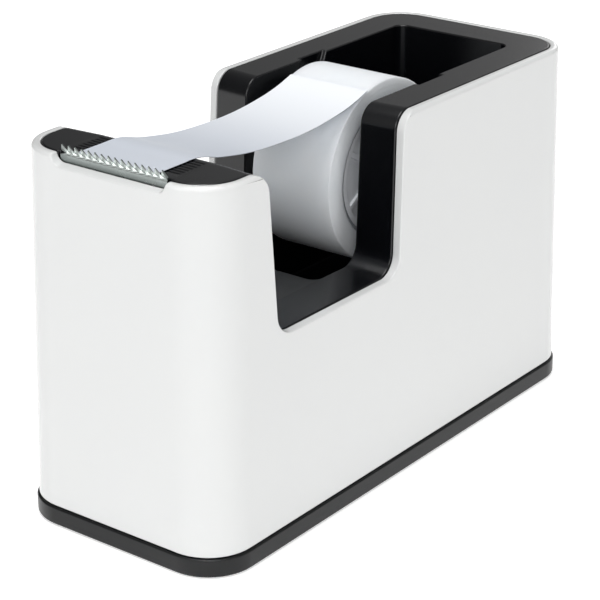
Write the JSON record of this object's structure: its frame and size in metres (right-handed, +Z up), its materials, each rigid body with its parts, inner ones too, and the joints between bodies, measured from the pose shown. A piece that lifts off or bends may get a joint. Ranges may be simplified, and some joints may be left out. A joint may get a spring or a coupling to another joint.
{
  "type": "tape dispenser",
  "caption": "Weighted desk tape dispenser: white sleeve, black roll well with drop-in spool, grooved deck, serrated steel blade.",
  "frame": {"origin": "on the table under the middle of the base", "axes": "+Z up, Y along the dispenser with the blade end at -Y, X across; the roll turns about X"},
  "size_m": [0.051, 0.126, 0.0776],
  "materials": {
    "white_shell": "glossy moulded, white",
    "black_liner": "satin moulded, black",
    "black_base": "satin moulded, black",
    "mat": "fine-grained foam rubber",
    "screw_steel": "zinc plated",
    "ballast": "as cast, bare",
    "pad": "adhesive foam",
    "blade_steel": "plated strip, ground teeth",
    "hub": "translucent grey, moulded",
    "core": "clear frosted",
    "tape": "matt invisible tape"
  },
  "bodies": {
    "dispenser": {"outer_shell": "white_shell", "inner_liner": "black_liner", "base_tray": "black_base", "anti_slip_mat": "mat", "base_screws": "screw_steel", "ballast_front": "ballast", "ballast_floor": "ballast", "ballast_pads": "pad", "cutter_blade": "blade_steel"},
    "roll_carrier": {"tape_leader": "tape"},
    "roll": {"hub_left": "hub", "hub_right": "hub", "tape_core": "core", "tape_roll": "tape"}
  },
  "joints": [
    {"name": "roll_lift", "type": "slide", "parent": "dispenser", "child": "roll_carrier", "axis": [0, 0.395, 0.9187], "range_m": [0, 0.05]},
    {"name": "roll_spin", "type": "hinge", "parent": "roll_carrier", "child": "roll", "pos_m": [0, 0.0112, 0.0578], "axis": [1, 0, 0], "continuous": true}
  ]
}
